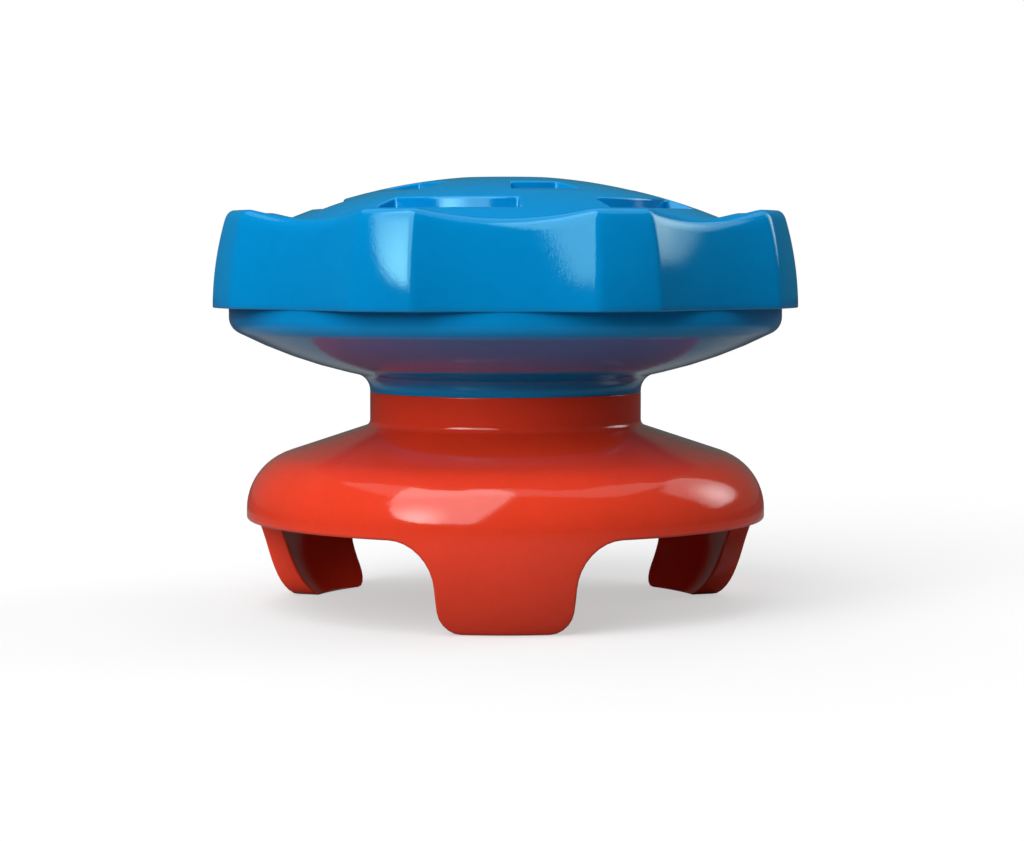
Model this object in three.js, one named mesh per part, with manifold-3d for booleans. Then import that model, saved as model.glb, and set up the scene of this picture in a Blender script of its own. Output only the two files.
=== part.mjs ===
// Clip-on thumb grip, in millimetres, +Z up. A stiff clip closes over a round head with curled
// prongs, and a soft lobed cap is moulded onto the spigot that stands on the clip's neck.
// The origin is on the axis, in the plane of the prong tips. The front, where one prong and one
// scallop of the cap are centred, is -Y.
import * as THREE from "three";
import { mergeVertices } from "three/addons/utils/BufferGeometryUtils.js";
import Module from "manifold-3d";

// Clip: the socket, and the skirt and prongs around it
const headRadius = 8.85; // of the round head that the socket fits
const headClearance = 0.1;
const skirtWall = 0.82;
const socketDepth = 1.4; // ceiling above the skirt's edge
const socketCorner = 0.9;
const prongCount = 3;
const prongLength = 3.35; // from the skirt's edge to the tip
const prongHalfWidth = 2.6; // along the skirt's outside
const prongLean = degrees(35.3); // of the outside at the tip, from upright
const prongRootFillet = 1.66;
const prongTipCorner = 0.82;

// Clip: shoulder and neck
const neckRadius = 5.12;
const neckLength = 1.26;
const neckFillet = 0.27;
const shoulderHeight = 3.5; // foot of the neck above the skirt's edge
const shoulderAngle = degrees(18.4); // fall of the shoulder from level
const shoulderRounding = 2.2;

// Clip: the spigot that the cap is moulded onto
const seamWidth = 1.52; // of the step that the cap's neck meets
const spigotLength = 4.1;
const spigotHeadOverhang = 1.2;
const spigotHeadThickness = 1;
const bondGap = 0.1;

// Cap: neck flare, underside and round flange
const collar = 0.03; // upright band above the seam
const flareRadius = 0.65;
const innerSlope = degrees(13);
const outerSlope = degrees(27);
const outerSlopeRun = 2.3;
const slopeRounding = 17.5;
const flangeRadius = 10.4;
const flangeRounding = 0.65;
const flangeBand = 0.79; // upright edge between the underside and the lobed rim

// Cap: lobed rim
const lobeCount = 8;
const crestOverhang = 0.8; // of the crests over the flange
const scallopOverhang = 0.04; // of the scallops' floors over the flange
const scallopRadius = 17.1;
const rimHeight = 3.72;
const rimBow = 11.6; // radius that curves the rim's face inwards towards its top
const rimEdge = 0.5; // rounding of the rim's top edge

// Cap: domed tread inside a dished ring
const dishWidth = 1.47; // from the flange's radius in to the dome's foot
const domeRadius = 21.4;
const domeRise = 1.17; // of the dome's sphere above the rim's top corner
const treadFold = 5; // pockets in each row round the centre dimple
const pocketDraft = 0.22; // narrowing of each pocket side towards its floor
const pocketRows = [
  // edges as shares of the dome's foot radius, arc in degrees, turn in pitches from the left
  { from: 0.683, to: 0.806, arc: 45, depth: 0.62, turn: 0 },
  { from: 0.381, to: 0.538, arc: 30, depth: 0.5, turn: 0.5 },
];
const dimpleRadius = 1.6;
const dimpleDepth = 0.35;

// Fineness of the meshes
const clipColumns = 48;
const hollowColumns = 24;
const scallopColumns = 4;
const crestColumns = 2;
const domeRings = 5;
const arcStep = degrees(15);
const leastArcSteps = 3;

// Heights above the prong tips
const skirtEdgeZ = prongLength;
const ceilingZ = skirtEdgeZ + socketDepth;
const neckFootZ = skirtEdgeZ + shoulderHeight;
const seamZ = neckFootZ + neckLength;
const spigotTopZ = seamZ + spigotLength;
const flareCornerZ = seamZ + collar + flareRadius * Math.tan((Math.PI / 2 - innerSlope) / 2);
const slopeBreakRadius = flangeRadius - outerSlopeRun;
const slopeBreakZ = flareCornerZ + (slopeBreakRadius - neckRadius) * Math.tan(innerSlope);
const flangeCornerZ = slopeBreakZ + outerSlopeRun * Math.tan(outerSlope);
const rimBottomZ = flangeCornerZ + flangeBand;
const rimCornerZ = rimBottomZ + rimHeight;
const sphereTopZ = rimCornerZ + domeRise;

// Radii that follow from the fits
const socketRadius = headRadius + headClearance;
const skirtRadius = socketRadius + skirtWall;
const spigotRadius = neckRadius - seamWidth;
const spigotHeadRadius = spigotRadius + spigotHeadOverhang;
const crestRadius = flangeRadius + crestOverhang;
const scallopCentre = flangeRadius + scallopOverhang + scallopRadius;
const domeFootRadius = flangeRadius - dishWidth;

function degrees(value) {
  return THREE.MathUtils.degToRad(value);
}

// The point at a radius, at an angle turned from the front towards +X, and at a height.
function pointAt(radius, angle, z) {
  return new THREE.Vector3(radius * Math.sin(angle), -radius * Math.cos(angle), z);
}

// Radius and height points through corners given as [radius, height, rounding].
function roundedOutline(corners) {
  return corners.flatMap(([radius, z, rounding], i) => {
    const corner = new THREE.Vector2(radius, z);
    if (!rounding) return [corner];
    const back = new THREE.Vector2(...corners[i - 1]).sub(corner).normalize();
    const ahead = new THREE.Vector2(...corners[i + 1]).sub(corner).normalize();
    const halfInside = Math.acos(back.dot(ahead)) / 2;
    const start = back.clone().multiplyScalar(rounding / Math.tan(halfInside)).add(corner);
    const toCentre = back.clone().add(ahead).normalize();
    const centre = toCentre.multiplyScalar(rounding / Math.sin(halfInside)).add(corner);
    const turn = (Math.PI - 2 * halfInside) * Math.sign(ahead.cross(back));
    const steps = Math.max(leastArcSteps, Math.ceil(Math.abs(turn) / arcStep));
    return Array.from({ length: steps + 1 }, (_, k) =>
      start.clone().rotateAround(centre, (turn * k) / steps),
    );
  });
}

// Joining and cutting is done on closed solids.
const wasm = await Module();
wasm.setup();

function solidOf(geometry) {
  geometry.deleteAttribute("normal");
  geometry.deleteAttribute("uv");
  const merged = mergeVertices(geometry);
  const index = merged.index.array;
  const triVerts = [];
  for (let i = 0; i < index.length; i += 3) {
    const [a, b, c] = index.subarray(i, i + 3);
    if (a !== b && b !== c && c !== a) triVerts.push(a, b, c);
  }
  return new wasm.Manifold(
    new wasm.Mesh({
      numProp: 3,
      vertProperties: merged.attributes.position.array,
      triVerts: new Uint32Array(triVerts),
    }),
  );
}

function geometryOf(solid) {
  const mesh = solid.getMesh();
  return new THREE.BufferGeometry()
    .setAttribute("position", new THREE.BufferAttribute(mesh.vertProperties, 3))
    .setIndex(new THREE.BufferAttribute(mesh.triVerts, 1))
    .toNonIndexed();
}

// A turned solid whose profile may change with the angle: profileAt(angle) gives radius and
// height points from the axis round the outside and back to the axis, as many at every angle.
function turned(profileAt, angles) {
  const geometry = new THREE.LatheGeometry(profileAt(angles[0]), angles.length);
  const position = geometry.attributes.position;
  const rows = position.count / (angles.length + 1);
  for (let column = 0; column <= angles.length; column += 1) {
    const angle = angles[column % angles.length];
    profileAt(angle).forEach(({ x: radius, y: z }, row) => {
      const { x, y } = pointAt(radius, angle, z);
      position.setXYZ(column * rows + row, x, y, z);
    });
  }
  return solidOf(geometry);
}

function evenAngles(count) {
  return Array.from({ length: count }, (_, k) => (2 * Math.PI * k) / count);
}

// A closed solid through sections of as many points each, with flat ends.
function swept(sections) {
  const size = sections[0].length;
  const index = [];
  for (let s = 0; s + 1 < sections.length; s += 1) {
    for (let k = 0; k < size; k += 1) {
      const here = s * size + k;
      const beside = s * size + ((k + 1) % size);
      index.push(here, beside, beside + size, here, beside + size, here + size);
    }
  }
  const last = (sections.length - 1) * size;
  for (let k = 1; k + 1 < size; k += 1) {
    index.push(0, k + 1, k, last, last + k, last + k + 1);
  }
  return solidOf(new THREE.BufferGeometry().setFromPoints(sections.flat()).setIndex(index));
}

// Clip: one turned body, with the gaps between the prongs cut away.

// Radius and height points down a prong's face, on an arc about the centre of its curl.
function curl(inset) {
  const radius = prongLength / Math.sin(prongLean) - inset;
  const centre = skirtRadius - inset - radius;
  const drop = Math.asin(skirtEdgeZ / radius);
  const steps = Math.ceil((2 * drop) / arcStep);
  return Array.from({ length: steps + 1 }, (_, k) => {
    const angle = (drop * k) / steps;
    const z = k < steps ? skirtEdgeZ - radius * Math.sin(angle) : 0;
    return new THREE.Vector2(centre + radius * Math.cos(angle), z);
  });
}

function clipProfile() {
  const shoulderFall = (skirtRadius - neckRadius) * Math.tan(shoulderAngle);
  const socket = roundedOutline([
    [0, ceilingZ, 0],
    [socketRadius, ceilingZ, socketCorner],
    [socketRadius, skirtEdgeZ, 0],
  ]);
  const outside = roundedOutline([
    [skirtRadius, skirtEdgeZ, 0],
    [skirtRadius, neckFootZ - shoulderFall, shoulderRounding],
    [neckRadius, neckFootZ, neckFillet],
    [neckRadius, seamZ, 0],
    [spigotRadius, seamZ, 0],
    [spigotRadius, spigotTopZ - spigotHeadThickness, 0],
    [spigotHeadRadius, spigotTopZ - spigotHeadThickness, 0],
    [spigotHeadRadius, spigotTopZ, 0],
    [0, spigotTopZ, 0],
  ]);
  const prongInside = curl(skirtWall);
  const prongOutside = curl(0).reverse();
  return [...socket.slice(0, -1), ...prongInside, ...prongOutside.slice(0, -1), ...outside];
}

// The gap between two prongs, as distances along the skirt and the height open at each.
function prongGap() {
  const pitch = (2 * Math.PI * skirtRadius) / prongCount;
  const corner = Math.min(prongTipCorner, prongLength / 4);
  const fillet = Math.min(prongRootFillet, prongLength / 2);
  const cornerSteps = 4;
  const filletSteps = 7;
  const quarter = Math.PI / 2;
  const side = [];
  for (let k = 0; k <= cornerSteps; k += 1) {
    const turn = (quarter * k) / cornerSteps;
    side.push([
      prongHalfWidth - corner * (1 - Math.sin(turn)),
      corner * (1 - Math.cos(turn)),
    ]);
  }
  for (let k = 0; k <= filletSteps; k += 1) {
    const turn = (quarter * k) / filletSteps;
    side.push([
      prongHalfWidth + fillet * (1 - Math.cos(turn)),
      skirtEdgeZ - fillet * (1 - Math.sin(turn)),
    ]);
  }
  const level = pitch - 2 * (prongHalfWidth + fillet);
  const levelSteps = Math.ceil(level / skirtRadius / arcStep);
  const middle = Array.from({ length: levelSteps - 1 }, (_, k) => [
    prongHalfWidth + fillet + (level * (k + 1)) / levelSteps,
    skirtEdgeZ,
  ]);
  const mirrored = side.map(([along, top]) => [pitch - along, top]).reverse();
  const inside = socketRadius / 2;
  const outside = skirtRadius + prongLength;
  const below = -prongLength;
  return swept(
    [...side, ...middle, ...mirrored].map(([along, top]) => {
      const angle = along / skirtRadius;
      return [
        pointAt(inside, angle, below),
        pointAt(inside, angle, top),
        pointAt(outside, angle, top),
        pointAt(outside, angle, below),
      ];
    }),
  );
}

function clipBase() {
  let clip = turned(clipProfile, evenAngles(clipColumns));
  for (let k = 0; k < prongCount; k += 1) {
    clip = clip.subtract(prongGap().rotate([0, 0, (360 * k) / prongCount]));
  }
  return clip;
}

// Cap: a turned body whose rim is scalloped, with pockets sunk into the dome.

// Half the angle that one scallop takes out of the crests' circle.
function scallopHalfAngle() {
  const span = scallopCentre ** 2 + crestRadius ** 2 - scallopRadius ** 2;
  return Math.acos(span / (2 * scallopCentre * crestRadius));
}

// How far out the rim reaches at an angle, as a share of the crests' radius.
function rimShare(angle) {
  const pitch = (2 * Math.PI) / lobeCount;
  const turn = angle - pitch * Math.round(angle / pitch);
  if (Math.abs(turn) > scallopHalfAngle()) return 1;
  const across = scallopCentre * Math.sin(turn);
  const floor = scallopCentre * Math.cos(turn) - Math.sqrt(scallopRadius ** 2 - across ** 2);
  return Math.min(floor / crestRadius, 1);
}

// Angles with a column on each crest corner.
function capAngles() {
  const pitch = (2 * Math.PI) / lobeCount;
  const half = scallopHalfAngle();
  const angles = [];
  for (let lobe = 0; lobe < lobeCount; lobe += 1) {
    const middle = pitch * lobe;
    for (let k = 0; k < scallopColumns; k += 1) {
      angles.push(middle + half * ((2 * k) / scallopColumns - 1));
    }
    for (let k = 0; k < crestColumns; k += 1) {
      angles.push(middle + half + (pitch - 2 * half) * (k / crestColumns));
    }
  }
  return angles;
}

function domeZ(radius) {
  return sphereTopZ - domeRadius + Math.sqrt(domeRadius ** 2 - radius ** 2);
}

// The crests' outside radius at a height.
function crestRadiusAt(z) {
  return crestRadius - rimBow + Math.sqrt(rimBow ** 2 - (z - rimBottomZ) ** 2);
}

// Height of the dished ring that falls from the rim's top corner to the dome's foot.
function dishZ(radius) {
  const share = (radius - domeFootRadius) / (crestRadiusAt(rimCornerZ) - domeFootRadius);
  return THREE.MathUtils.lerp(domeZ(domeFootRadius), rimCornerZ, share);
}

function rimProfile(angle) {
  const share = rimShare(angle);
  const cornerRadius = crestRadiusAt(rimCornerZ) * share;
  const cornerZ = dishZ(cornerRadius);
  const faceTopZ = cornerZ - rimEdge;
  const face = [0, 0.4, 0.75].map((rise) => {
    const z = THREE.MathUtils.lerp(rimBottomZ, faceTopZ, rise);
    return new THREE.Vector2(crestRadiusAt(z) * share, z);
  });
  const inside = cornerRadius - rimEdge;
  const edge = new THREE.QuadraticBezierCurve(
    new THREE.Vector2(crestRadiusAt(faceTopZ) * share, faceTopZ),
    new THREE.Vector2(cornerRadius, cornerZ),
    new THREE.Vector2(inside, dishZ(inside)),
  );
  return [...face, ...edge.getPoints(leastArcSteps)];
}

function capProfile(angle) {
  const underside = roundedOutline([
    [0, seamZ, 0],
    [neckRadius, seamZ, 0],
    [neckRadius, flareCornerZ, flareRadius],
    [slopeBreakRadius, slopeBreakZ, slopeRounding],
    [flangeRadius, flangeCornerZ, flangeRounding],
    [flangeRadius, rimBottomZ, 0],
  ]);
  const dome = Array.from({ length: domeRings + 1 }, (_, k) => {
    const radius = THREE.MathUtils.lerp(domeFootRadius, dimpleRadius, k / domeRings);
    return new THREE.Vector2(radius, domeZ(radius));
  });
  const dimple = [dimpleRadius - dimpleDepth / 2, 0].map(
    (radius) => new THREE.Vector2(radius, domeZ(radius) - dimpleDepth),
  );
  return [...underside, ...rimProfile(angle), ...dome, ...dimple];
}

// The hollow that the clip's spigot fills.
function spigotHollow() {
  const neck = spigotRadius + bondGap;
  const head = spigotHeadRadius + bondGap;
  const belowZ = seamZ - spigotLength;
  const headBottomZ = spigotTopZ - spigotHeadThickness - bondGap;
  const topZ = spigotTopZ + bondGap;
  const profile = roundedOutline([
    [0, belowZ, 0],
    [neck, belowZ, 0],
    [neck, headBottomZ, 0],
    [head, headBottomZ, 0],
    [head, topZ, 0],
    [0, topZ, 0],
  ]);
  return turned(() => profile, evenAngles(hollowColumns));
}

// One tread pocket: an arc along its row, narrower at its floor than at the dome.
function pocket({ from, to, arc, depth }, middle) {
  const wall = (top, draft) => {
    const rim = new THREE.Vector2(top, domeZ(top));
    const floor = new THREE.Vector2(top + draft, domeZ(top + draft) - depth);
    return { above: rim.multiplyScalar(2).sub(floor), floor };
  };
  const inner = wall(from * domeFootRadius, pocketDraft);
  const outer = wall(to * domeFootRadius, -pocketDraft);
  const outline = [inner.floor, inner.above, outer.above, outer.floor];
  const span = degrees(arc);
  const steps = Math.ceil((2 * span) / arcStep);
  const sections = Array.from({ length: steps + 1 }, (_, k) => {
    const angle = middle + span * (k / steps - 0.5);
    return outline.map(({ x: radius, y: z }) => pointAt(radius, angle, z));
  });
  return swept(sections);
}

function gripCap() {
  let cap = turned(capProfile, capAngles()).subtract(spigotHollow());
  const left = -Math.PI / 2;
  const pitch = (2 * Math.PI) / treadFold;
  for (const row of pocketRows) {
    for (let k = 0; k < treadFold; k += 1) {
      cap = cap.subtract(pocket(row, left + pitch * (k + row.turn)));
    }
  }
  return cap;
}

// The two mouldings
function moulding(name, solid, color, roughness) {
  const material = new THREE.MeshStandardMaterial({ color, roughness, metalness: 0 });
  const mesh = new THREE.Mesh(geometryOf(solid), material);
  mesh.geometry.computeVertexNormals();
  mesh.name = name;
  return mesh;
}

const thumbGrip = new THREE.Group();
thumbGrip.add(moulding("clip_base", clipBase(), 0xe8371c, 0.28));
thumbGrip.add(moulding("grip_cap", gripCap(), 0x0083c6, 0.38));

export default thumbGrip;
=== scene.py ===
import math

import bmesh
import bpy
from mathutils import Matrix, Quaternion, Vector


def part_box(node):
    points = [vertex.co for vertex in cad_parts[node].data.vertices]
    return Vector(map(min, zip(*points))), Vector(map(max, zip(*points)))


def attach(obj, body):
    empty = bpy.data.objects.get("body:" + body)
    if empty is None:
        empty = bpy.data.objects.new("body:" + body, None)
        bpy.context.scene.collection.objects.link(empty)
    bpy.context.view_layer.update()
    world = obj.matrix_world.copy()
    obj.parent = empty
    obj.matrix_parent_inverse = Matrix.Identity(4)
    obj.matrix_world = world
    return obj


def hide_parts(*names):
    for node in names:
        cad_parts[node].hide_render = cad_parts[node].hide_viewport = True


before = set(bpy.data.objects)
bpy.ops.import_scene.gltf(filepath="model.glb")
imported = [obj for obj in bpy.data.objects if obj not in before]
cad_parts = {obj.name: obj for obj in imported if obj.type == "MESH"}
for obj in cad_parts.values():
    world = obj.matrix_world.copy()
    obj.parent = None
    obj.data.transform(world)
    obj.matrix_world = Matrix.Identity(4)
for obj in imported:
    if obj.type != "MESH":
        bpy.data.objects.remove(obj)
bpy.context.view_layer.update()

# The two mouldings are modelled in millimetres and scaled to metres when they are finished.
MM = 0.001
clip_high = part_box("clip_base")[1] / MM
cap_low, cap_high = (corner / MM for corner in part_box("grip_cap"))

# Heights and radii that the frame gives
SEAM_Z = cap_low.z
TREAD_TOP_Z = cap_high.z
SPIGOT_TOP_Z = clip_high.z
SKIRT_RADIUS = clip_high.x

# Clip: socket, skirt and prongs
SKIRT_WALL = 0.82
SOCKET_DEPTH = 1.4
SOCKET_CORNER = 0.9
PRONG_COUNT = 3
PRONG_LENGTH = 3.35
PRONG_HALF_WIDTH = 2.6
PRONG_LEAN = math.radians(35.3)
PRONG_ROOT_FILLET = 1.66
PRONG_TIP_CORNER = 0.82
SKIRT_BAND = 0.35  # upright band of the skirt over its lower edge
EDGE_BAND = 0.16  # first row of faces along the lower edge
EDGE_PULL = 0.25  # how far the lower edge's direction bends the rows over it, at most
EDGE_ROUNDING = 0.09

# Clip: shoulder, neck and spigot
NECK_RADIUS = 5.12
NECK_LENGTH = 1.26
NECK_FILLET = 0.27
SHOULDER_ANGLE = math.radians(18.4)
SHOULDER_ROUNDING = 2.2
SEAM_WIDTH = 1.52
SEAM_ROUNDING = 0.05
SPIGOT_HEAD_OVERHANG = 1.2
SPIGOT_HEAD_THICKNESS = 1.0
BOND_GAP = 0.1

# Cap: flare, underside and flange
COLLAR = 0.03
FLARE_RADIUS = 0.65
INNER_SLOPE = math.radians(13)
OUTER_SLOPE = math.radians(27)
OUTER_SLOPE_RUN = 2.3
SLOPE_ROUNDING = 17.5
FLANGE_RADIUS = 10.4
FLANGE_ROUNDING = 0.65
FLANGE_BAND = 0.79

# Cap: lobed rim
LOBE_COUNT = 8
CREST_RADIUS = 11.2
SCALLOP_FLOOR_RADIUS = 10.44
SCALLOP_RADIUS = 17.1
RIM_HEIGHT = 3.72
RIM_BOW = 11.6
RIM_EDGE = 0.5
RIM_LOWER_EDGE = 0.05
RIM_LEDGE_SHARE = 0.8  # share of its ledge over the flange that the rounding takes at most
ARC_MIDDLE = 0.29  # share of a rounding's width that is left at the arc's middle
CREST_CORNER = math.radians(0.9)  # half the turn over which a crest's upright edge is rounded
CREST_TAPER = math.radians(0.6)  # turn of a crest's upright edges towards each other at the top

# Cap: tread
DISH_WIDTH = 1.47
DOME_RADIUS = 21.4
TREAD_FOLD = 5
OUTER_POCKET = {"inner": 6.1, "outer": 7.2, "arc": 45, "depth": 0.62, "turn": 0}
MIDDLE_POCKET = {"inner": 3.4, "outer": 4.8, "arc": 30, "depth": 0.5, "turn": 0.5}
POCKET_ROUNDING = 0.09
DIMPLE_RADIUS = 1.6
DIMPLE_DEPTH = 0.35
DIMPLE_ROUNDING = 0.12

# Heights and radii that follow
SKIRT_EDGE_Z = PRONG_LENGTH
CEILING_Z = SKIRT_EDGE_Z + SOCKET_DEPTH
NECK_FOOT_Z = SEAM_Z - NECK_LENGTH
SOCKET_RADIUS = SKIRT_RADIUS - SKIRT_WALL
SPIGOT_RADIUS = NECK_RADIUS - SEAM_WIDTH
SPIGOT_HEAD_RADIUS = SPIGOT_RADIUS + SPIGOT_HEAD_OVERHANG
FLARE_CORNER_Z = SEAM_Z + COLLAR + FLARE_RADIUS * math.tan((math.pi / 2 - INNER_SLOPE) / 2)
SLOPE_BREAK_RADIUS = FLANGE_RADIUS - OUTER_SLOPE_RUN
SLOPE_BREAK_Z = FLARE_CORNER_Z + (SLOPE_BREAK_RADIUS - NECK_RADIUS) * math.tan(INNER_SLOPE)
FLANGE_CORNER_Z = SLOPE_BREAK_Z + OUTER_SLOPE_RUN * math.tan(OUTER_SLOPE)
RIM_BOTTOM_Z = FLANGE_CORNER_Z + FLANGE_BAND
RIM_CORNER_Z = RIM_BOTTOM_Z + RIM_HEIGHT
DOME_FOOT_RADIUS = FLANGE_RADIUS - DISH_WIDTH
SCALLOP_CENTRE = SCALLOP_FLOOR_RADIUS + SCALLOP_RADIUS
SPHERE_TOP_Z = TREAD_TOP_Z + DOME_RADIUS - math.sqrt(DOME_RADIUS ** 2 - DIMPLE_RADIUS ** 2)
DOME_LOW_Z = RIM_CORNER_Z - 1  # all of the dome's faces lie over it, and none of the flange's

# Fineness of the meshes: steps along half a prong's share of the lower edge
TIP_STEPS = 6
TIP_CORNER_STEPS = 5
PRONG_SIDE_STEPS = 3
ROOT_FILLET_STEPS = 8
SKIRT_EDGE_STEPS = 14
CLIP_COLUMNS_PER_PRONG = 2 * (
    TIP_STEPS + TIP_CORNER_STEPS + PRONG_SIDE_STEPS + ROOT_FILLET_STEPS + SKIRT_EDGE_STEPS
)
SKIRT_ROWS = 9
SHOULDER_ROWS = 0.6, 0.8  # shares of the way from the skirt to the neck

# Fineness of the meshes: steps along half a lobe, and up the rim
SCALLOP_STEPS = 7
CREST_CORNER_STEPS = 5
CREST_STEPS = 3
CAP_COLUMNS = 2 * LOBE_COUNT * (SCALLOP_STEPS + CREST_CORNER_STEPS + CREST_STEPS)
RIM_FACE_ROWS = 16
RIM_EDGE_STEPS = 7
DISH_ROWS = 0.35, 0.7, 0.9  # shares of the way from the rim's edge to the dome
DOME_RINGS = 8.8, 8.4, 7.9, 7.5, 5.8, 5.3, 3.1, 2.6, 2.2, 1.9
POCKET_RINGS = 4
THINNINGS = (5.35, 1), (2.25, 2)  # radius inside which every second column at a step is left out

ARC_STEP = math.radians(6)
SHARP_ANGLE = math.radians(50)
SMOOTH_ANGLE = math.radians(60)
ROUNDING_SEGMENTS = 3
MERGE_DISTANCE = 1e-4
MATCH_DISTANCE = 0.01  # the second decimal, to which rows are looked up


def deselect_all():
    bpy.ops.object.select_all(action="DESELECT")


def lerp(start, end, share):
    return start + (end - start) * share


def between(start, end, steps):
    """Points at even steps from start up to, but without, end."""
    return [
        tuple(lerp(a, b, k / steps) for a, b in zip(start, end))
        for k in range(steps)
    ]


def rounded(corners, step=ARC_STEP):
    """Radius and height points through corners given as (radius, height, rounding)."""
    points = []
    for i, (radius, z, rounding) in enumerate(corners):
        corner = Vector((radius, z))
        if not rounding:
            points.append((radius, z))
            continue
        back = (Vector(corners[i - 1][:2]) - corner).normalized()
        ahead = (Vector(corners[i + 1][:2]) - corner).normalized()
        half_inside = back.angle(ahead) / 2
        centre = corner + (back + ahead).normalized() * (rounding / math.sin(half_inside))
        start = corner + back * (rounding / math.tan(half_inside)) - centre
        turn = math.copysign(math.pi - 2 * half_inside, ahead.x * back.y - ahead.y * back.x)
        steps = max(4, math.ceil(abs(turn) / step))
        for k in range(steps + 1):
            angle = turn * k / steps
            points.append((
                centre.x + start.x * math.cos(angle) - start.y * math.sin(angle),
                centre.y + start.x * math.sin(angle) + start.y * math.cos(angle),
            ))
    return points


def turned(name, outline, columns):
    """A closed body turned from an outline that starts and ends on the axis."""
    deselect_all()
    bpy.ops.mesh.primitive_plane_add(size=1, location=(0, 0, 0))
    piece = bpy.context.object
    piece.name = name
    bpy.ops.object.mode_set(mode="EDIT")
    bpy.ops.mesh.merge(type="CENTER")
    bpy.ops.transform.translate(value=(0, -outline[0][0], outline[0][1]))
    for (radius, z), (next_radius, next_z) in zip(outline, outline[1:]):
        step = (0, radius - next_radius, next_z - z)
        bpy.ops.mesh.extrude_region_move(TRANSFORM_OT_translate={"value": step})
    bpy.ops.mesh.select_all(action="SELECT")
    bpy.ops.mesh.spin(steps=columns, angle=math.tau, center=(0, 0, 0), axis=(0, 0, 1))
    bpy.ops.mesh.select_all(action="SELECT")
    bpy.ops.mesh.remove_doubles(threshold=MERGE_DISTANCE)
    bpy.ops.mesh.normals_make_consistent(inside=False)
    bpy.ops.object.mode_set(mode="OBJECT")
    return piece


def reshape(piece, outline, columns, place):
    """Moves each vertex of a turned body to place(row, column), a radius, an angle and a height."""
    rows = {}
    for row, (radius, z) in enumerate(outline):
        rows.setdefault((round(radius, 2), round(z, 2)), []).append((radius, z, row))
    for vertex in piece.data.vertices:
        radius = math.hypot(vertex.co.x, vertex.co.y)
        near = [
            found
            for dr in (-MATCH_DISTANCE, 0, MATCH_DISTANCE)
            for dz in (-MATCH_DISTANCE, 0, MATCH_DISTANCE)
            for found in rows.get((round(radius + dr, 2), round(vertex.co.z + dz, 2)), [])
        ]
        row = min(near, key=lambda f: abs(f[0] - radius) + abs(f[1] - vertex.co.z))[2]
        angle = math.atan2(vertex.co.x, -vertex.co.y)
        column = round(angle / math.tau * columns) % columns
        radius, angle, z = place(row, column)
        vertex.co = (radius * math.sin(angle), -radius * math.cos(angle), z)


def apply_modifier(piece, kind, **settings):
    modifier = piece.modifiers.new(kind.lower(), kind)
    for key, value in settings.items():
        setattr(modifier, key, value)
    deselect_all()
    piece.select_set(True)
    bpy.context.view_layer.objects.active = piece
    bpy.ops.object.modifier_apply(modifier=modifier.name)


def finish_piece(piece):
    """Scales a finished piece to metres and smooths its shading."""
    deselect_all()
    piece.select_set(True)
    bpy.context.view_layer.objects.active = piece
    piece.scale = (MM, MM, MM)
    bpy.ops.object.transform_apply(location=True, rotation=True, scale=True)
    bpy.ops.object.shade_smooth_by_angle(angle=SMOOTH_ANGLE)
    return piece


# Clip

def prong_curl_radius(z, inset):
    """Radius of a prong's face at a height, inset from its outside."""
    curl = PRONG_LENGTH / math.sin(PRONG_LEAN)
    drop = max(0, SKIRT_EDGE_Z - z)
    return SKIRT_RADIUS - curl + math.sqrt((curl - inset) ** 2 - drop ** 2)


def lower_edge():
    """Half of one prong's share of the clip's lower edge, from the middle of the tip to the middle
    of the gap: distance along the skirt, height, and the direction into the wall."""
    quarter = math.pi / 2
    edge = [
        (along, 0, 0, 1)
        for along, _ in between((0, 0), (PRONG_HALF_WIDTH - PRONG_TIP_CORNER, 0), TIP_STEPS)
    ]
    for k in range(TIP_CORNER_STEPS):
        turn = quarter * k / TIP_CORNER_STEPS
        edge.append((
            PRONG_HALF_WIDTH - PRONG_TIP_CORNER * (1 - math.sin(turn)),
            PRONG_TIP_CORNER * (1 - math.cos(turn)),
            -math.sin(turn),
            math.cos(turn),
        ))
    root_z = SKIRT_EDGE_Z - PRONG_ROOT_FILLET
    edge += [
        (PRONG_HALF_WIDTH, z, -1, 0)
        for _, z in between((0, PRONG_TIP_CORNER), (0, root_z), PRONG_SIDE_STEPS)
    ]
    for k in range(ROOT_FILLET_STEPS):
        turn = quarter * k / ROOT_FILLET_STEPS
        edge.append((
            PRONG_HALF_WIDTH + PRONG_ROOT_FILLET * (1 - math.cos(turn)),
            root_z + PRONG_ROOT_FILLET * math.sin(turn),
            -math.cos(turn),
            math.sin(turn),
        ))
    gap_middle = math.pi * SKIRT_RADIUS / PRONG_COUNT
    root = PRONG_HALF_WIDTH + PRONG_ROOT_FILLET
    edge += [
        (along, SKIRT_EDGE_Z, 0, 1)
        for along, _ in between((root, 0), (gap_middle, 0), SKIRT_EDGE_STEPS)
    ]
    edge.append((gap_middle, SKIRT_EDGE_Z, 0, 1))
    return edge


def skirt_top(edge):
    """Distances along the skirt's upright band at which the columns over the lower edge stand."""
    root = PRONG_HALF_WIDTH + PRONG_ROOT_FILLET
    lengths = [0]
    for (a, z, *_), (next_a, next_z, *_) in zip(edge, edge[1:]):
        lengths.append(lengths[-1] + math.hypot(next_a - a, next_z - z))
    at_root = next(k for k, point in enumerate(edge) if point[1] >= SKIRT_EDGE_Z - MERGE_DISTANCE)
    return [
        root * lengths[k] / lengths[at_root] if k < at_root else edge[k][0]
        for k in range(len(edge))
    ]


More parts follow.
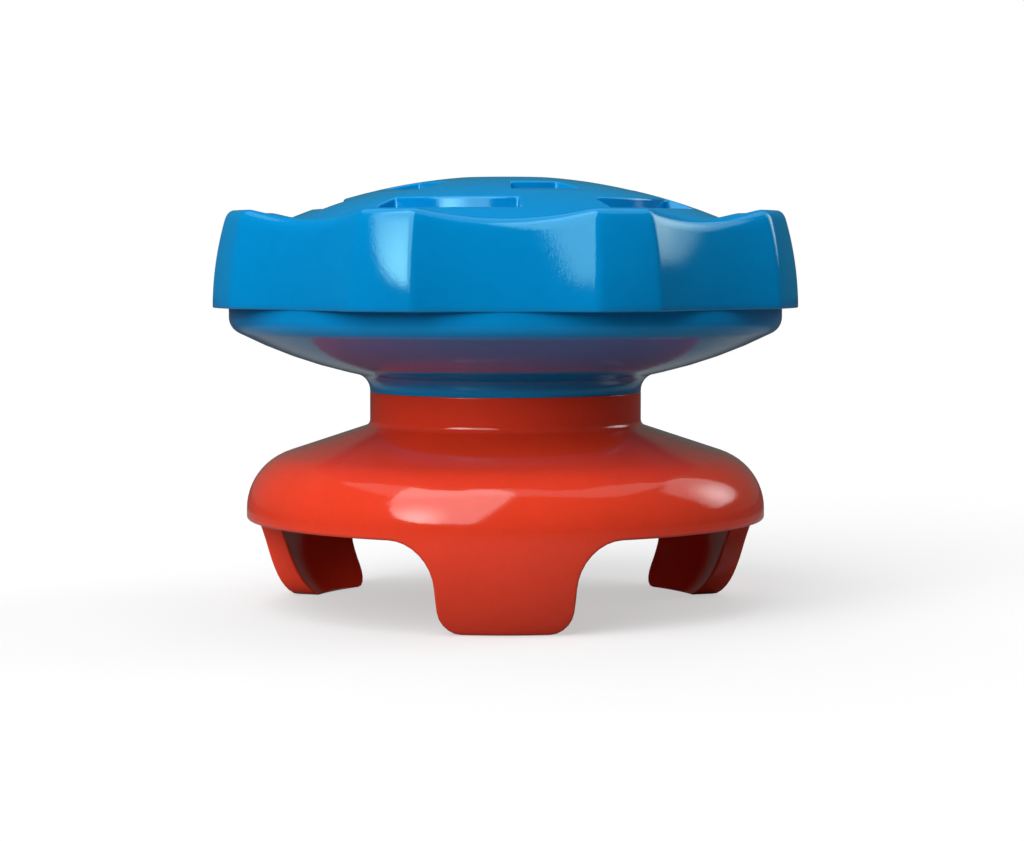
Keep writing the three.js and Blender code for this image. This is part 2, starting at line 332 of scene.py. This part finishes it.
def clip_outline():
    """The clip's outline before the prongs are drawn down, and the row where the skirt's inner band
    starts."""
    band_top = SKIRT_EDGE_Z + SKIRT_BAND
    shoulder_z = NECK_FOOT_Z - (SKIRT_RADIUS - NECK_RADIUS) * math.tan(SHOULDER_ANGLE)
    socket = rounded([
        (0, CEILING_Z, 0),
        (SOCKET_RADIUS / 3, CEILING_Z, 0),
        (SOCKET_RADIUS * 2 / 3, CEILING_Z, 0),
        (SOCKET_RADIUS, CEILING_Z, SOCKET_CORNER),
        (SOCKET_RADIUS, band_top, 0),
    ])[:-1]
    inner_band = between((SOCKET_RADIUS, band_top), (SOCKET_RADIUS, SKIRT_EDGE_Z), SKIRT_ROWS)
    middle = SOCKET_RADIUS + SKIRT_WALL / 2
    bottom = [(SOCKET_RADIUS, SKIRT_EDGE_Z), (middle, SKIRT_EDGE_Z), (SKIRT_RADIUS, SKIRT_EDGE_Z)]
    outer_band = between((SKIRT_RADIUS, SKIRT_EDGE_Z), (SKIRT_RADIUS, band_top), SKIRT_ROWS)[1:]
    outside = rounded([
        (SKIRT_RADIUS, band_top, 0),
        (SKIRT_RADIUS, shoulder_z, SHOULDER_ROUNDING),
        *(
            (lerp(SKIRT_RADIUS, NECK_RADIUS, share), lerp(shoulder_z, NECK_FOOT_Z, share), 0)
            for share in SHOULDER_ROWS
        ),
        (NECK_RADIUS, NECK_FOOT_Z, NECK_FILLET),
        (NECK_RADIUS, lerp(NECK_FOOT_Z, SEAM_Z, 0.6), 0),
        (NECK_RADIUS, SEAM_Z, SEAM_ROUNDING),
        (SPIGOT_RADIUS, SEAM_Z, 0),
        (SPIGOT_RADIUS, SPIGOT_TOP_Z - SPIGOT_HEAD_THICKNESS, 0),
        (SPIGOT_HEAD_RADIUS, SPIGOT_TOP_Z - SPIGOT_HEAD_THICKNESS, 0),
        (SPIGOT_HEAD_RADIUS, SPIGOT_TOP_Z, 0),
        (0, SPIGOT_TOP_Z, 0),
    ])
    first = len(socket)
    return socket + inner_band + bottom + outer_band + outside, first


def clip_base():
    """A turned body whose lower edge is drawn down into three curled prongs."""
    edge = lower_edge()
    tops = skirt_top(edge)
    outline, first = clip_outline()
    middle_row = first + SKIRT_ROWS + 1
    half = CLIP_COLUMNS_PER_PRONG // 2
    columns = PRONG_COUNT * CLIP_COLUMNS_PER_PRONG
    band_top = SKIRT_EDGE_Z + SKIRT_BAND

    def wall_point(k, share):
        """Distance along the skirt and height on the column over point k of the lower edge."""
        along, z, into_along, into_z = edge[k]
        if share >= 1:
            return along, z
        start = Vector((along + into_along * EDGE_BAND, z + into_z * EDGE_BAND))
        end = Vector((tops[k], band_top))
        reach = (end - start).length
        bend = Vector((into_along, into_z)) * min(EDGE_PULL, reach / 3)
        rise = Vector((0, reach / 3))
        t = 1 - share * SKIRT_ROWS / (SKIRT_ROWS - 1)
        point = (
            start * (1 - t) ** 3
            + (start + bend) * 3 * (1 - t) ** 2 * t
            + (end - rise) * 3 * (1 - t) * t ** 2
            + end * t ** 3
        )
        return point.x, point.y

    def place(row, column):
        prong, k = divmod(column + half, CLIP_COLUMNS_PER_PRONG)
        k -= half
        centre = math.tau * prong / PRONG_COUNT
        rows_down = SKIRT_ROWS + 1 - abs(row - middle_row)
        if rows_down < 0:
            radius, z = outline[row]
            return radius, centre + math.copysign(tops[abs(k)], k) / SKIRT_RADIUS, z
        along, z = wall_point(abs(k), min(1, rows_down / SKIRT_ROWS))
        inset = SKIRT_WALL * (0.5 + 0.5 * max(-1, min(1, middle_row - row)))
        return prong_curl_radius(z, inset), centre + math.copysign(along, k) / SKIRT_RADIUS, z

    piece = turned("clip", outline, columns)
    reshape(piece, outline, columns, place)
    apply_modifier(
        piece, "BEVEL", width=EDGE_ROUNDING, segments=ROUNDING_SEGMENTS, limit_method="ANGLE",
        angle_limit=SHARP_ANGLE,
    )
    return finish_piece(piece)


# Cap

def scallop_half_angle():
    span = SCALLOP_CENTRE ** 2 + CREST_RADIUS ** 2 - SCALLOP_RADIUS ** 2
    return math.acos(span / (2 * SCALLOP_CENTRE * CREST_RADIUS))


def rim_columns():
    """Turns of one lobe's columns from its scallop's middle, from crest to crest."""
    corner = scallop_half_angle()
    pitch = math.tau / LOBE_COUNT
    before, after = corner - CREST_CORNER, corner + CREST_CORNER
    half = [before * k / SCALLOP_STEPS for k in range(SCALLOP_STEPS)]
    half += [lerp(before, after, k / CREST_CORNER_STEPS) for k in range(CREST_CORNER_STEPS)]
    half += [lerp(after, pitch / 2, k / CREST_STEPS) for k in range(CREST_STEPS)]
    return [-pitch / 2] + [-turn for turn in reversed(half[1:])] + half


def scallop_reach(turn):
    across = SCALLOP_CENTRE * math.sin(turn)
    return SCALLOP_CENTRE * math.cos(turn) - math.sqrt(SCALLOP_RADIUS ** 2 - across ** 2)


def crest_lean(turn):
    """Turn by which a column leans aside at the rim's top."""
    pitch = math.tau / LOBE_COUNT
    corner = scallop_half_angle()
    if abs(turn) < corner:
        return CREST_TAPER * turn / corner
    return math.copysign(CREST_TAPER * (pitch / 2 - abs(turn)) / (pitch / 2 - corner), turn)


def rim_reach(turn):
    """Radius of the rim's lower edge at a turn from its scallop's middle."""
    turn = abs(turn)
    corner = scallop_half_angle()
    if turn <= corner - CREST_CORNER:
        return scallop_reach(turn)
    if turn >= corner + CREST_CORNER:
        return CREST_RADIUS
    start = scallop_reach(corner - CREST_CORNER)
    share = (turn - corner + CREST_CORNER) / (2 * CREST_CORNER)
    return start * (1 - share) ** 2 + CREST_RADIUS * (1 - (1 - share) ** 2)


def dome_z(radius):
    return SPHERE_TOP_Z - DOME_RADIUS + math.sqrt(DOME_RADIUS ** 2 - radius ** 2)


def crest_radius_at(z):
    return CREST_RADIUS - RIM_BOW + math.sqrt(RIM_BOW ** 2 - (z - RIM_BOTTOM_Z) ** 2)


def dish_z(radius):
    share = (radius - DOME_FOOT_RADIUS) / (crest_radius_at(RIM_CORNER_Z) - DOME_FOOT_RADIUS)
    return lerp(dome_z(DOME_FOOT_RADIUS), RIM_CORNER_Z, share)


def rim_outline(reach):
    """The rim's lower edge, bowed face and upper edge where the lower edge stands at a radius."""
    share = reach / CREST_RADIUS
    lower = min(RIM_LOWER_EDGE, RIM_LEDGE_SHARE * (reach - FLANGE_RADIUS))
    corner_radius = crest_radius_at(RIM_CORNER_Z) * share
    corner_z = dish_z(corner_radius)
    face_top = corner_z - RIM_EDGE
    points = [
        (reach - lower, RIM_BOTTOM_Z),
        (reach - ARC_MIDDLE * lower, RIM_BOTTOM_Z + ARC_MIDDLE * lower),
    ]
    for k in range(RIM_FACE_ROWS + 1):
        z = lerp(RIM_BOTTOM_Z + lower, face_top, k / RIM_FACE_ROWS)
        points.append((crest_radius_at(z) * share, z))
    start = Vector(points[-1])
    corner = Vector((corner_radius, corner_z))
    end = Vector((corner_radius - RIM_EDGE, dish_z(corner_radius - RIM_EDGE)))
    for k in range(1, RIM_EDGE_STEPS + 1):
        t = k / RIM_EDGE_STEPS
        point = start * (1 - t) ** 2 + corner * 2 * (1 - t) * t + end * t ** 2
        points.append((point.x, point.y))
    foot = Vector((DOME_FOOT_RADIUS, dish_z(DOME_FOOT_RADIUS)))
    points += [tuple(end.lerp(foot, share)) for share in DISH_ROWS]
    return points


def cap_outline():
    """The cap's outline at a crest, the row where the rim starts and the row where it ends."""
    neck = SPIGOT_RADIUS + BOND_GAP
    head = SPIGOT_HEAD_RADIUS + BOND_GAP
    head_bottom = SPIGOT_TOP_Z - SPIGOT_HEAD_THICKNESS - BOND_GAP
    top = SPIGOT_TOP_Z + BOND_GAP
    underside = rounded([
        (0, top, 0),
        (head, top, 0),
        (head, head_bottom, 0),
        (neck, head_bottom, 0),
        (neck, SEAM_Z, 0),
        (NECK_RADIUS, SEAM_Z, 0),
        (NECK_RADIUS, FLARE_CORNER_Z, FLARE_RADIUS),
        (SLOPE_BREAK_RADIUS, SLOPE_BREAK_Z, SLOPE_ROUNDING),
        (FLANGE_RADIUS, FLANGE_CORNER_Z, FLANGE_ROUNDING),
        (FLANGE_RADIUS, lerp(FLANGE_CORNER_Z, RIM_BOTTOM_Z, 0.9), 0),
        (FLANGE_RADIUS, RIM_BOTTOM_Z, 0),
    ])
    rim = rim_outline(CREST_RADIUS)
    dome_radii = [DOME_FOOT_RADIUS, *DOME_RINGS]
    for pocket in (OUTER_POCKET, MIDDLE_POCKET):
        dome_radii += [
            lerp(pocket["outer"], pocket["inner"], k / POCKET_RINGS)
            for k in range(POCKET_RINGS + 1)
        ]
    dome = [(radius, dome_z(radius)) for radius in sorted(dome_radii, reverse=True)]
    floor_radius = DIMPLE_RADIUS - DIMPLE_DEPTH / 2
    dimple = rounded([
        dome[-1] + (0,),
        (DIMPLE_RADIUS, dome_z(DIMPLE_RADIUS), DIMPLE_ROUNDING),
        (floor_radius, dome_z(floor_radius) - DIMPLE_DEPTH, DIMPLE_ROUNDING),
        (floor_radius / 2, dome_z(floor_radius / 2) - DIMPLE_DEPTH, 0),
        (0, SPHERE_TOP_Z - DIMPLE_DEPTH, 0),
    ], ARC_STEP * 2)[1:]
    first = len(underside)
    return underside + rim + dome + dimple, first, first + len(rim)


def thin_columns(piece, radius, step):
    """Leaves out every second radial row of faces of the dome inside a radius."""
    bpy.ops.mesh.select_mode(type="EDGE")
    bpy.ops.mesh.select_all(action="DESELECT")
    mesh = bmesh.from_edit_mesh(piece.data)
    for edge in mesh.edges:
        ends = [vertex.co for vertex in edge.verts]
        if min(end.z for end in ends) < DOME_LOW_Z:
            continue
        radii = sorted(math.hypot(end.x, end.y) for end in ends)
        if radii[1] > radius or radii[1] - radii[0] < MERGE_DISTANCE:
            continue
        outer = max(ends, key=lambda end: math.hypot(end.x, end.y))
        column = round(math.atan2(outer.x, -outer.y) / math.tau * CAP_COLUMNS)
        edge.select = column % (2 * step) == step
    mesh.select_flush_mode()
    bpy.ops.mesh.dissolve_edges(use_verts=True)


def sink_pockets(piece, pocket):
    """Sinks one row of arc pockets into the dome and rounds their edges."""
    bpy.ops.mesh.select_mode(type="FACE")
    bpy.ops.mesh.select_all(action="DESELECT")
    mesh = bmesh.from_edit_mesh(piece.data)
    pitch = math.tau / TREAD_FOLD
    left = -math.pi / 2
    for face in mesh.faces:
        centre = face.calc_center_median()
        radius = math.hypot(centre.x, centre.y)
        if centre.z < DOME_LOW_Z or not pocket["inner"] < radius < pocket["outer"]:
            continue
        turn = math.atan2(centre.x, -centre.y) - left - pitch * pocket["turn"]
        turn -= pitch * round(turn / pitch)
        face.select = abs(turn) < math.radians(pocket["arc"]) / 2
    mesh.select_flush_mode()
    bpy.ops.mesh.extrude_region_move(TRANSFORM_OT_translate={"value": (0, 0, -pocket["depth"])})
    bpy.ops.mesh.select_mode(type="EDGE")
    bpy.ops.mesh.select_all(action="DESELECT")
    bpy.ops.mesh.edges_select_sharp(sharpness=SHARP_ANGLE)
    mesh = bmesh.from_edit_mesh(piece.data)
    margin = POCKET_ROUNDING
    for edge in mesh.edges:
        middle = (edge.verts[0].co + edge.verts[1].co) / 2
        radius = math.hypot(middle.x, middle.y)
        inside = pocket["inner"] - margin < radius < pocket["outer"] + margin
        if middle.z < DOME_LOW_Z or not inside:
            edge.select = False
    mesh.select_flush_mode()
    bpy.ops.mesh.bevel(offset=POCKET_ROUNDING, segments=ROUNDING_SEGMENTS, affect="EDGES")


def grip_cap():
    """A turned body whose rim is scalloped, with pockets sunk into its dome."""
    outline, rim_start, rim_end = cap_outline()
    lobe = rim_columns()
    per_lobe = len(lobe)

    def place(row, column):
        even = math.tau * column / CAP_COLUMNS
        number, k = divmod(column + per_lobe // 2, per_lobe)
        turn = lobe[k]
        stepped = math.tau * number / LOBE_COUNT + turn
        if row < rim_start:
            return outline[row][0], stepped, outline[row][1]
        if row < rim_end:
            radius, z = rim_outline(rim_reach(turn))[row - rim_start]
            stepped += crest_lean(turn) * (z - RIM_BOTTOM_Z) / RIM_HEIGHT
            even_share = max(0, 4 - (rim_end - row)) / 4
            return radius, lerp(stepped, even, even_share), z
        return outline[row][0], even, outline[row][1]

    piece = turned("cap", outline, CAP_COLUMNS)
    reshape(piece, outline, CAP_COLUMNS, place)
    bpy.ops.object.mode_set(mode="EDIT")
    for radius, step in THINNINGS:
        thin_columns(piece, radius, step)
    for pocket in (OUTER_POCKET, MIDDLE_POCKET):
        sink_pockets(piece, pocket)
    bpy.ops.object.mode_set(mode="OBJECT")
    return finish_piece(piece)


# Materials

def moulded(name, colours, roughness, grain_size, grain_height, tint, ior):
    """Moulded plastic or rubber: slightly uneven colour and gloss over a fine moulded grain."""
    made = bpy.data.materials.new(name)
    made.use_nodes = True
    nodes, links = made.node_tree.nodes, made.node_tree.links
    shader = nodes["Principled BSDF"]
    shader.inputs["Specular Tint"].default_value = (*tint, 1)
    shader.inputs["IOR"].default_value = ior
    place = nodes.new("ShaderNodeTexCoord")

    def noise(size, detail, fineness=0.5):
        node = nodes.new("ShaderNodeTexNoise")
        node.inputs["Scale"].default_value = 1 / (size * MM)
        node.inputs["Detail"].default_value = detail
        node.inputs["Roughness"].default_value = fineness
        links.new(place.outputs["Object"], node.inputs["Vector"])
        return node.outputs["Fac"]

    mottle = nodes.new("ShaderNodeValToRGB")
    mottle.color_ramp.elements[0].position = 0.3
    mottle.color_ramp.elements[1].position = 0.7
    for element, colour in zip(mottle.color_ramp.elements, colours):
        element.color = (*colour, 1)
    links.new(noise(size=6, detail=7, fineness=0.85), mottle.inputs["Fac"])
    links.new(mottle.outputs["Color"], shader.inputs["Base Color"])

    gloss = nodes.new("ShaderNodeMapRange")
    gloss.inputs["To Min"].default_value = roughness[0]
    gloss.inputs["To Max"].default_value = roughness[1]
    links.new(noise(size=1.5, detail=4), gloss.inputs["Value"])
    links.new(gloss.outputs["Result"], shader.inputs["Roughness"])

    grain = nodes.new("ShaderNodeBump")
    grain.inputs["Strength"].default_value = 0.3
    grain.inputs["Distance"].default_value = grain_height * MM
    links.new(noise(size=grain_size, detail=2), grain.inputs["Height"])
    links.new(grain.outputs["Normal"], shader.inputs["Normal"])
    return made


def clip_gloss():
    return moulded(
        "clip_gloss", colours=((0.74, 0.042, 0.013), (0.84, 0.050, 0.017)),
        roughness=(0.08, 0.12), grain_size=0.2, grain_height=0.01, tint=(1, 1, 1), ior=1.5,
    )


def cap_satin():
    return moulded(
        "cap_satin", colours=((0.0, 0.225, 0.555), (0.0, 0.262, 0.625)),
        roughness=(0.06, 0.09), grain_size=0.075, grain_height=0.0082, tint=(0.42, 1, 1), ior=1.55,
    )


# Stage

PHOTO_WIDTH, PHOTO_HEIGHT = 1024, 841
AXIS_X_PX = 505.5  # the part's axis in the photograph
HORIZON_Y_PX = 250
TIP_LEVEL_Y_PX = 604.5  # height of the prong tips' plane at the axis
PX_PER_MM = 26.4  # at the axis
CAMERA_DISTANCE_PX = 2700  # from the axis, at the axis' scale
SENSOR_WIDTH = 36
LAMP_DISTANCE = 0.45  # m
FLOOR_RADIUS = 1.5  # m
FLOOR_TONE = 0.8
FLOOR_BOUNCE = 0.25, 0.06  # tone of the floor to all but the camera, near the part and away
BOUNCE_FADE = 25, 55  # mm from the axis
FLOOR_GLOW = 0.5
FLOOR_FADE = 22, 60  # mm from the axis
FLOOR_DROP = 0.01  # mm under the prong tips
WORLD_FRONT = 0.08
WORLD_BACK = 0.14
WORLD_REARWARD = -0.4, 1  # how far up and back a direction points at the front and back level
WORLD_TINT = 0.35, 1, 0.95  # of its reflections


def add_camera():
    height = (TIP_LEVEL_Y_PX - HORIZON_Y_PX) / PX_PER_MM
    aim = Vector((
        (PHOTO_WIDTH / 2 - AXIS_X_PX) / PX_PER_MM,
        0,
        (TIP_LEVEL_Y_PX - PHOTO_HEIGHT / 2) / PX_PER_MM,
    ))
    place = Vector((0, -CAMERA_DISTANCE_PX / PX_PER_MM, height))
    direction = aim - place
    bpy.ops.object.camera_add(
        location=place * MM, rotation=direction.to_track_quat("-Z", "Y").to_euler(),
    )
    camera = bpy.context.object
    camera.data.sensor_width = SENSOR_WIDTH
    camera.data.lens = SENSOR_WIDTH * direction.length * PX_PER_MM / PHOTO_WIDTH
    camera.data.clip_start = 0.005
    bpy.context.scene.camera = camera


def softbox(
    name, azimuth, elevation, width, height, radiance,
    roll=0, lean=0, edge=(0.93, 1.06), core=None, mirrored=True,
):
    """A soft lamp facing the part, at an azimuth from the front towards +X, in degrees and metres.
    Its corners are rounded, its sides lean to the left by a share of its half width, it fades
    over its edge's range, and it is brighter round a core: x and y from -1 to 1, radius, gain. One
    that isn't mirrored lights the part but leaves no highlight."""
    turn, rise = math.radians(azimuth), math.radians(elevation)
    direction = Vector((
        math.sin(turn) * math.cos(rise), -math.cos(turn) * math.cos(rise), math.sin(rise),
    ))
    middle = Vector((0, 0, TREAD_TOP_Z / 2)) * MM
    facing = direction.to_track_quat("Z", "Y") @ Quaternion((0, 0, 1), math.radians(roll))
    bpy.ops.object.light_add(
        type="AREA", location=middle + direction * LAMP_DISTANCE, rotation=facing.to_euler(),
    )
    lamp = bpy.context.object
    lamp.name = name
    lamp.visible_glossy = mirrored
    lamp.data.shape = "RECTANGLE"
    lamp.data.size, lamp.data.size_y = width, height
    lamp.data.energy = radiance * math.pi * width * height
    lamp.data.use_nodes = True
    nodes, links = lamp.data.node_tree.nodes, lamp.data.node_tree.links
    geometry = nodes.new("ShaderNodeNewGeometry")
    centred = nodes.new("ShaderNodeVectorMath")
    centred.operation = "MULTIPLY_ADD"
    centred.inputs[1].default_value = (2, 2, 0)
    centred.inputs[2].default_value = (-1, -1, 0)
    links.new(geometry.outputs["Parametric"], centred.inputs[0])
    across = nodes.new("ShaderNodeVectorMath")
    across.operation = "DOT_PRODUCT"
    across.inputs[1].default_value = (1, lean, 0)
    links.new(centred.outputs["Vector"], across.inputs[0])
    up = nodes.new("ShaderNodeSeparateXYZ")
    links.new(centred.outputs["Vector"], up.inputs["Vector"])
    leaned = nodes.new("ShaderNodeCombineXYZ")
    links.new(across.outputs["Value"], leaned.inputs["X"])
    links.new(up.outputs["Y"], leaned.inputs["Y"])
    squared = nodes.new("ShaderNodeVectorMath")
    squared.operation = "MULTIPLY"
    links.new(leaned.outputs["Vector"], squared.inputs[0])
    links.new(leaned.outputs["Vector"], squared.inputs[1])
    reach = nodes.new("ShaderNodeVectorMath")
    reach.operation = "LENGTH"
    links.new(squared.outputs["Vector"], reach.inputs[0])
    fade = nodes.new("ShaderNodeMapRange")
    fade.interpolation_type = "SMOOTHSTEP"
    fade.inputs["From Min"].default_value, fade.inputs["From Max"].default_value = edge
    fade.inputs["To Min"].default_value = 1
    fade.inputs["To Max"].default_value = 0
    links.new(reach.outputs["Value"], fade.inputs["Value"])
    glow = fade.outputs["Result"]
    if core:
        distance = nodes.new("ShaderNodeVectorMath")
        distance.operation = "DISTANCE"
        distance.inputs[1].default_value = (core[0], core[1], 0)
        links.new(centred.outputs["Vector"], distance.inputs[0])
        gain = nodes.new("ShaderNodeMapRange")
        gain.interpolation_type = "SMOOTHSTEP"
        gain.inputs["From Max"].default_value = core[2]
        gain.inputs["To Min"].default_value = core[3]
        gain.inputs["To Max"].default_value = 1
        links.new(distance.outputs["Value"], gain.inputs["Value"])
        both = nodes.new("ShaderNodeMath")
        both.operation = "MULTIPLY"
        links.new(glow, both.inputs[0])
        links.new(gain.outputs["Result"], both.inputs[1])
        glow = both.outputs["Value"]
    links.new(glow, nodes["Emission"].inputs["Strength"])


def add_floor():
    """A pale floor: white to the camera away from the part, with the part's soft shadow near it,
    and clear to a camera below it."""
    deselect_all()
    bpy.ops.mesh.primitive_circle_add(
        vertices=96, radius=FLOOR_RADIUS, fill_type="NGON", location=(0, 0, -FLOOR_DROP * MM),
    )
    bpy.ops.object.transform_apply(location=True)
    floor = bpy.context.object
    floor.name = "floor"
    made = bpy.data.materials.new("pale_floor")
    made.use_nodes = True
    nodes, links = made.node_tree.nodes, made.node_tree.links
    nodes.clear()
    output = nodes.new("ShaderNodeOutputMaterial")
    path = nodes.new("ShaderNodeLightPath")
    lit = nodes.new("ShaderNodeBsdfDiffuse")
    white = nodes.new("ShaderNodeEmission")
    place = nodes.new("ShaderNodeTexCoord")
    distance = nodes.new("ShaderNodeVectorMath")
    distance.operation = "LENGTH"
    links.new(place.outputs["Object"], distance.inputs[0])
    bounce = nodes.new("ShaderNodeMapRange")
    bounce.interpolation_type = "SMOOTHSTEP"
    bounce.inputs["From Min"].default_value = BOUNCE_FADE[0] * MM
    bounce.inputs["From Max"].default_value = BOUNCE_FADE[1] * MM
    bounce.inputs["To Min"].default_value = FLOOR_BOUNCE[0]
    bounce.inputs["To Max"].default_value = FLOOR_BOUNCE[1]
    links.new(distance.outputs["Value"], bounce.inputs["Value"])
    tone = nodes.new("ShaderNodeMapRange")
    tone.inputs["To Max"].default_value = FLOOR_TONE
    links.new(path.outputs["Is Camera Ray"], tone.inputs["Value"])
    links.new(bounce.outputs["Result"], tone.inputs["To Min"])
    links.new(tone.outputs["Result"], lit.inputs["Color"])
    fade = nodes.new("ShaderNodeMapRange")
    fade.interpolation_type = "SMOOTHSTEP"
    fade.inputs["From Min"].default_value = FLOOR_FADE[0] * MM
    fade.inputs["From Max"].default_value = FLOOR_FADE[1] * MM
    fade.inputs["To Min"].default_value = FLOOR_GLOW
    fade.inputs["To Max"].default_value = 1
    links.new(distance.outputs["Value"], fade.inputs["Value"])
    share = nodes.new("ShaderNodeMath")
    share.operation = "MULTIPLY"
    links.new(path.outputs["Is Camera Ray"], share.inputs[0])
    links.new(fade.outputs["Result"], share.inputs[1])
    seen = nodes.new("ShaderNodeMixShader")
    links.new(share.outputs["Value"], seen.inputs["Fac"])
    links.new(lit.outputs["BSDF"], seen.inputs[1])
    links.new(white.outputs["Emission"], seen.inputs[2])
    side = nodes.new("ShaderNodeNewGeometry")
    below = nodes.new("ShaderNodeMath")
    below.operation = "MULTIPLY"
    links.new(path.outputs["Is Camera Ray"], below.inputs[0])
    links.new(side.outputs["Backfacing"], below.inputs[1])
    clear = nodes.new("ShaderNodeBsdfTransparent")
    open_below = nodes.new("ShaderNodeMixShader")
    links.new(below.outputs["Value"], open_below.inputs["Fac"])
    links.new(seen.outputs["Shader"], open_below.inputs[1])
    links.new(clear.outputs["BSDF"], open_below.inputs[2])
    links.new(open_below.outputs["Shader"], output.inputs["Surface"])
    floor.data.materials.append(made)


def light_world():
    """A white backdrop to the camera, and to the part a studio that is dim in front and paler above
    and behind."""
    world = bpy.data.worlds.new("studio")
    bpy.context.scene.world = world
    world.use_nodes = True
    nodes, links = world.node_tree.nodes, world.node_tree.links
    background = nodes["Background"]
    tint = nodes.new("ShaderNodeMixRGB")
    tint.inputs["Color1"].default_value = (1, 1, 1, 1)
    tint.inputs["Color2"].default_value = (*WORLD_TINT, 1)
    place = nodes.new("ShaderNodeTexCoord")
    rearward = nodes.new("ShaderNodeVectorMath")
    rearward.operation = "DOT_PRODUCT"
    rearward.inputs[1].default_value = (0, 1, 1)
    links.new(place.outputs["Generated"], rearward.inputs[0])
    level = nodes.new("ShaderNodeMapRange")
    level.inputs["From Min"].default_value, level.inputs["From Max"].default_value = WORLD_REARWARD
    level.inputs["To Min"].default_value = WORLD_FRONT
    level.inputs["To Max"].default_value = WORLD_BACK
    links.new(rearward.outputs["Value"], level.inputs["Value"])
    path = nodes.new("ShaderNodeLightPath")
    seen = nodes.new("ShaderNodeMath")
    seen.operation = "MAXIMUM"
    links.new(path.outputs["Is Camera Ray"], seen.inputs[0])
    links.new(path.outputs["Is Transmission Ray"], seen.inputs[1])
    links.new(path.outputs["Is Glossy Ray"], tint.inputs["Fac"])
    links.new(tint.outputs["Color"], background.inputs["Color"])
    strength = nodes.new("ShaderNodeMapRange")
    strength.inputs["To Max"].default_value = 1
    links.new(seen.outputs["Value"], strength.inputs["Value"])
    links.new(level.outputs["Result"], strength.inputs["To Min"])
    links.new(strength.outputs["Result"], background.inputs["Strength"])


clip = clip_base()
clip.data.materials.append(clip_gloss())
cap = grip_cap()
cap.data.materials.append(cap_satin())
for piece, node, slot in ((clip, "clip_base", "clip"), (cap, "grip_cap", "cap")):
    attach(piece, "root")
    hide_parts(node)

add_floor()
add_camera()
light_world()
softbox(
    "key", azimuth=-32, elevation=42.5, width=0.37, height=0.63, radiance=3.5,
    lean=0.2, edge=(0.9, 1.05), core=(-0.35, -0.75, 0.8, 2.8),
)
softbox(
    "right", azimuth=113.5, elevation=28.5, width=0.26, height=0.31, radiance=1.35,
    roll=10, edge=(0.8, 1.1), core=(0, -0.35, 1, 3.4),
)
softbox("top", azimuth=180, elevation=89, width=0.8, height=0.5, radiance=0.85)
softbox("rear", azimuth=190, elevation=35, width=0.5, height=0.5, radiance=0.9, mirrored=False)

scene = bpy.context.scene
scene.view_settings.view_transform = "Standard"
